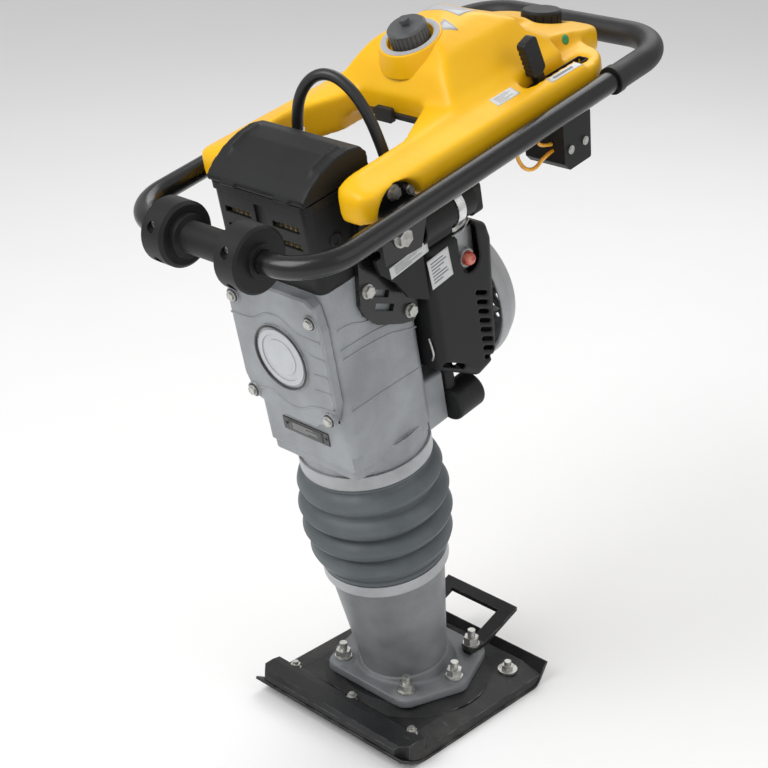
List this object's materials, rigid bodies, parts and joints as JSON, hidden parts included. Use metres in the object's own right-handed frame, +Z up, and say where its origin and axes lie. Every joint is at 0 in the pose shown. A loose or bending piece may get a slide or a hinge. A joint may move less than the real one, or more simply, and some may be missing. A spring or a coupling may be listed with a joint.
{
  "type": "vibratory rammer",
  "caption": "Upright petrol soil rammer with a broad steel shoe, rubber bellows, gear case, small engine, fork-shaped tank and a tubular guide handle with a front roller.",
  "frame": {"origin": "centre of the flat sole on the ground, under the leg", "axes": "+Z up, -Y the front with the transport roller, +Y the operator's side, X across"},
  "size_m": [0.352, 0.6911, 0.9487],
  "materials": {
    "shoe_steel": "black paint, worn",
    "shoe_core": "black, scuffed",
    "flange_casting": "dark grey paint on cast iron",
    "zinc_fastener": "zinc plated",
    "leg_paint": "grey paint",
    "band_paint": "light grey",
    "spring_steel": "oiled",
    "bare_steel": "machined",
    "bellows_rubber": "matt dark blue grey",
    "case_paint": "silver grey paint on cast aluminium",
    "badge_dark": "gloss",
    "plate_dark": "satin foil",
    "black_paint": "gloss black",
    "mount_rubber": "matt black",
    "raw_aluminium": "cast",
    "bright_metal": "bright",
    "ceramic": "glazed",
    "black_plastic": "moulded",
    "fan_grey": "light grey",
    "muffler_steel": "heat proof black",
    "filter_paper": "paper",
    "primer_rubber": "red translucent",
    "tank_yellow": "rotomoulded",
    "cap_grey": "moulded",
    "fuel_line": "orange translucent",
    "clutch_lining": "sintered"
  },
  "bodies": {
    "foot": {"sole_plate": "shoe_steel", "shoe_body": "shoe_core", "shoe_bolts": "zinc_fastener", "foot_flange": "flange_casting", "flange_nuts": "zinc_fastener", "lifting_loop": "shoe_steel", "leg_tube": "leg_paint", "lower_bellows_band": "band_paint", "plunger": "bare_steel", "lower_spring": "spring_steel", "upper_spring": "spring_steel"},
    "machine": {"bellows": "bellows_rubber", "guide_tube": "bare_steel", "neck_ring": "band_paint", "gearcase": "case_paint", "front_cover": "case_paint", "cover_screws": "zinc_fastener", "front_badge": "badge_dark", "nameplate": "plate_dark", "side_brackets": "black_paint", "bracket_bolts": "zinc_fastener", "rubber_mounts": "mount_rubber", "gear_bearings": "bare_steel", "engine_block": "raw_aluminium", "cylinder": "raw_aluminium", "spark_plug": "ceramic", "carburettor": "raw_aluminium", "intake_duct": "black_plastic", "clamp_bands": "bright_metal", "engine_cover": "black_plastic", "fan_cover": "fan_grey", "muffler": "muffler_steel", "air_filter_housing": "black_plastic", "filter_element": "filter_paper", "breather_hose": "mount_rubber"},
    "handle": {"handle_tube": "black_paint", "grip_sleeve": "mount_rubber", "handle_plates": "black_paint", "frame_bolts": "zinc_fastener", "fuel_tank": "tank_yellow", "control_box": "black_plastic", "control_screws": "zinc_fastener", "tank_strap": "mount_rubber", "oil_line": "fuel_line"},
    "crank": {"crank_gear": "bare_steel", "crank_pin": "bare_steel"},
    "conrod": {"connecting_rod": "bare_steel"},
    "clutch": {"clutch_drum": "bare_steel"},
    "rotor": {"engine_crankshaft": "bare_steel", "clutch_shoes": "clutch_lining", "flywheel_fan": "raw_aluminium"},
    "pulley": {"recoil_pulley": "black_plastic"},
    "starter": {"starter_grip": "black_plastic"},
    "throttle": {"throttle_lever": "black_plastic"},
    "fuel_cap": {"fuel_cap": "black_plastic"},
    "oil_cap": {"oil_cap": "cap_grey"},
    "lid": {"filter_lid": "black_plastic"},
    "roller": {"transport_roller": "black_plastic", "roller_screws": "zinc_fastener"},
    "primer": {"primer_bulb": "primer_rubber"}
  },
  "joints": [
    {"name": "ram_stroke", "type": "slide", "parent": "foot", "child": "machine", "axis": [0, -0.2164, 0.9763], "range_m": [-0.03, 0.03], "stiffness_N_per_m": 40000, "springref_m": 0.00886, "deforming": ["bellows"]},
    {"name": "handle_sway", "type": "hinge", "parent": "machine", "child": "handle", "pos_m": [0, -0.16017, 0.73946], "axis": [1, 0, 0], "range_deg": [-2.5, 2.5], "stiffness_Nm_per_rad": 2500},
    {"name": "crank_spin", "type": "hinge", "parent": "machine", "child": "crank", "pos_m": [0, -0.13143, 0.60986], "axis": [0, 0.9763, 0.2164], "continuous": true},
    {"name": "conrod_swing", "type": "hinge", "parent": "crank", "child": "conrod", "pos_m": [0, -0.12667, 0.58838], "axis": [0, 0.9763, 0.2164], "continuous": true},
    {"name": "clutch_spin", "type": "hinge", "parent": "machine", "child": "clutch", "pos_m": [0, -0.11601, 0.54029], "axis": [0, 0.9763, 0.2164], "continuous": true},
    {"name": "engine_spin", "type": "hinge", "parent": "machine", "child": "rotor", "pos_m": [0, -0.11601, 0.54029], "axis": [0, 0.9763, 0.2164], "continuous": true},
    {"name": "starter_pull", "type": "slide", "parent": "machine", "child": "starter", "axis": [0, 0.9763, 0.2164], "range_m": [0, 0.6], "stiffness_N_per_m": 20, "springref_m": -0.4},
    {"name": "pulley_spin", "type": "hinge", "parent": "machine", "child": "pulley", "pos_m": [0, -0.11601, 0.54029], "axis": [0, 0.9763, 0.2164], "range_deg": [0, 990]},
    {"name": "throttle_swing", "type": "hinge", "parent": "handle", "child": "throttle", "pos_m": [0.115, 0.13229, 0.80634], "axis": [-1, 0, 0], "range_deg": [-8, 48]},
    {"name": "fuel_cap_turn", "type": "hinge", "parent": "handle", "child": "fuel_cap", "pos_m": [0, 0.24146, 0.90532], "axis": [0, -0.0262, 0.9997], "range_deg": [0, 360]},
    {"name": "oil_cap_turn", "type": "hinge", "parent": "handle", "child": "oil_cap", "pos_m": [0, -0.00779, 0.92074], "axis": [0, -0.4462, 0.8949], "range_deg": [0, 360]},
    {"name": "filter_lid_lift", "type": "hinge", "parent": "machine", "child": "lid", "pos_m": [0, -0.26373, 0.78615], "axis": [1, 0, 0], "range_deg": [0, 75]},
    {"name": "roller_spin", "type": "hinge", "parent": "handle", "child": "roller", "pos_m": [0, -0.32748, 0.74108], "axis": [1, 0, 0], "continuous": true},
    {"name": "primer_press", "type": "slide", "parent": "machine", "child": "primer", "axis": [-1, 0, 0], "range_m": [0, 0.003], "stiffness_N_per_m": 500}
  ],
  "couplings": [
    {"joint": "conrod_swing", "follows": "crank_spin", "ratio": -1},
    {"joint": "clutch_spin", "follows": "crank_spin", "ratio": -6.3077},
    {"joint": "pulley_spin", "follows": "starter_pull", "rad_per_m": 28.571}
  ]
}
